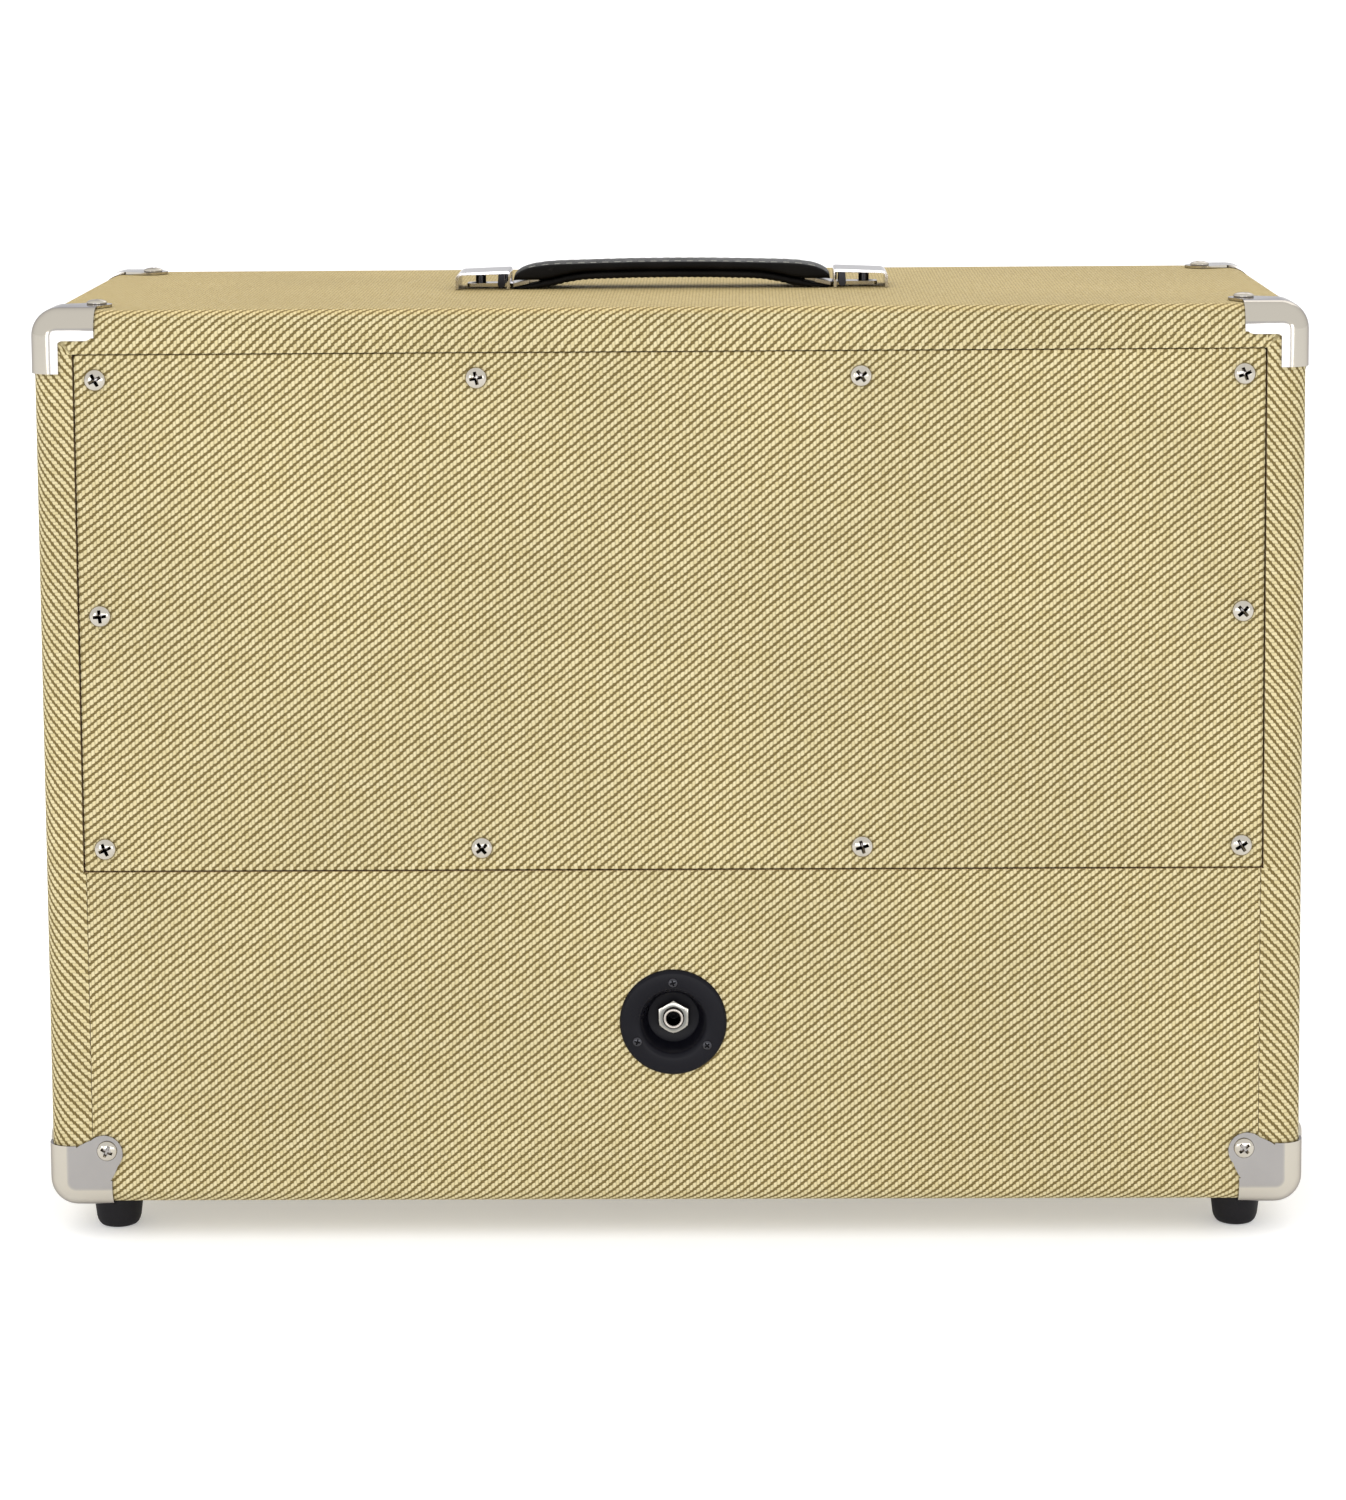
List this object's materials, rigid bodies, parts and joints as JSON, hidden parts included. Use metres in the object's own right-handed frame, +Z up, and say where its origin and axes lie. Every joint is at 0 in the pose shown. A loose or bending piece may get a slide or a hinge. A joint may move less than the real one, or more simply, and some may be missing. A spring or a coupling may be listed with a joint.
{
  "type": "guitar amplifier extension cabinet",
  "caption": "Closed-back tweed-covered guitar speaker cabinet with strap handle, metal corners, screwed rear access panel and a jack in a recessed dish.",
  "frame": {"origin": "on the floor under the middle of the cabinet, at the centre of the bounding box's base", "axes": "+Z up; +Y out of the back, where the access panel and the jack are; -Y out of the grille; +X to the right of somebody who looks at the grille"},
  "size_m": [0.606, 0.2646, 0.4657],
  "materials": {
    "plywood": "bare birch plywood",
    "tweed": "lacquered diagonal twill, cream and brown",
    "nickel_plate": "polished nickel plate",
    "rubber": "matt moulded",
    "strap_leather": "smooth black strap with pale stitching",
    "black_dish": "satin black powder coat",
    "black_basket": "semi-gloss black paint",
    "steel": "zinc plated",
    "cone_paper": "dark pressed pulp",
    "gasket_fibre": "pressed fibre",
    "spider_cloth": "resin-stiffened cloth",
    "coil_former": "wound copper on a brown former",
    "ferrite": "pressed and ground ferrite",
    "phenolic": "laminated phenolic board",
    "cable_jacket": "smooth",
    "grille_cloth": "stretched open woven cloth"
  },
  "bodies": {
    "cabinet": {"top_panel": "plywood", "bottom_panel": "plywood", "left_side_panel": "plywood", "right_side_panel": "plywood", "baffle_board": "plywood", "lower_back_panel": "plywood", "rear_access_panel": "plywood", "cleat_left": "plywood", "cleat_right": "plywood", "cleat_top": "plywood", "panel_batten": "plywood", "grille_frame": "plywood", "tweed_wrap": "tweed", "tweed_lower_back": "tweed", "tweed_access_panel": "tweed", "access_screw_upper_1": "nickel_plate", "access_screw_upper_2": "nickel_plate", "access_screw_upper_3": "nickel_plate", "access_screw_upper_4": "nickel_plate", "access_screw_middle_5": "nickel_plate", "access_screw_middle_6": "nickel_plate", "access_screw_lower_7": "nickel_plate", "access_screw_lower_8": "nickel_plate", "access_screw_lower_9": "nickel_plate", "access_screw_lower_10": "nickel_plate", "corner_bottom_front_left": "nickel_plate", "corner_top_front_left": "nickel_plate", "corner_bottom_back_left": "nickel_plate", "corner_top_back_left": "nickel_plate", "corner_bottom_front_right": "nickel_plate", "corner_top_front_right": "nickel_plate", "corner_bottom_back_right": "nickel_plate", "corner_top_back_right": "nickel_plate", "handle_cap_left": "nickel_plate", "handle_cap_right": "nickel_plate", "jack_bushing": "nickel_plate", "jack_nut": "nickel_plate", "foot_front_left": "rubber", "foot_front_right": "rubber", "foot_back_left": "rubber", "foot_back_right": "rubber", "jack_dish": "black_dish", "speaker_basket": "black_basket", "jack_frame": "steel", "magnet_top_plate": "steel", "magnet_pole_and_back_plate": "steel", "speaker_gasket": "gasket_fibre", "magnet_ring": "ferrite", "terminal_strip": "phenolic", "speaker_lead": "cable_jacket", "grille_cloth": "grille_cloth"},
    "handle_grip": {"strap_grip": "strap_leather"},
    "handle_end_left": {"strap_end_left": "strap_leather"},
    "handle_end_right": {"strap_end_right": "strap_leather"},
    "moving_cone": {"speaker_cone": "cone_paper", "speaker_dust_cap": "cone_paper", "speaker_voice_coil": "coil_former", "speaker_surround": "cone_paper", "speaker_spider": "spider_cloth"},
    "tip_contact": {"jack_tip_contact": "steel"}
  },
  "joints": [
    {"name": "handle_lift", "type": "slide", "parent": "cabinet", "child": "handle_grip", "axis": [0, 0, 1], "range_m": [0, 0.01], "stiffness_N_per_m": 2000},
    {"name": "strap_bend_left", "type": "hinge", "parent": "handle_grip", "child": "handle_end_left", "pos_m": [-0.04, 0, 0.4564], "axis": [0, -1, 0], "range_deg": [0, 10.5]},
    {"name": "strap_bend_right", "type": "hinge", "parent": "handle_grip", "child": "handle_end_right", "pos_m": [0.04, 0, 0.4564], "axis": [0, 1, 0], "range_deg": [0, 10.5]},
    {"name": "cone_travel", "type": "slide", "parent": "cabinet", "child": "moving_cone", "axis": [0, -1, 0], "range_m": [-0.003, 0.003], "stiffness_N_per_m": 7700, "deforming": ["speaker_surround", "speaker_spider"]},
    {"name": "tip_contact_flex", "type": "hinge", "parent": "cabinet", "child": "tip_contact", "pos_m": [0, 0.0745, 0.1132], "axis": [1, 0, 0], "range_deg": [0, 4.5], "stiffness_Nm_per_rad": 0.4}
  ],
  "couplings": [
    {"joint": "strap_bend_left", "follows": "handle_lift", "rad_per_m": 17.453},
    {"joint": "strap_bend_right", "follows": "handle_lift", "rad_per_m": 17.453}
  ]
}
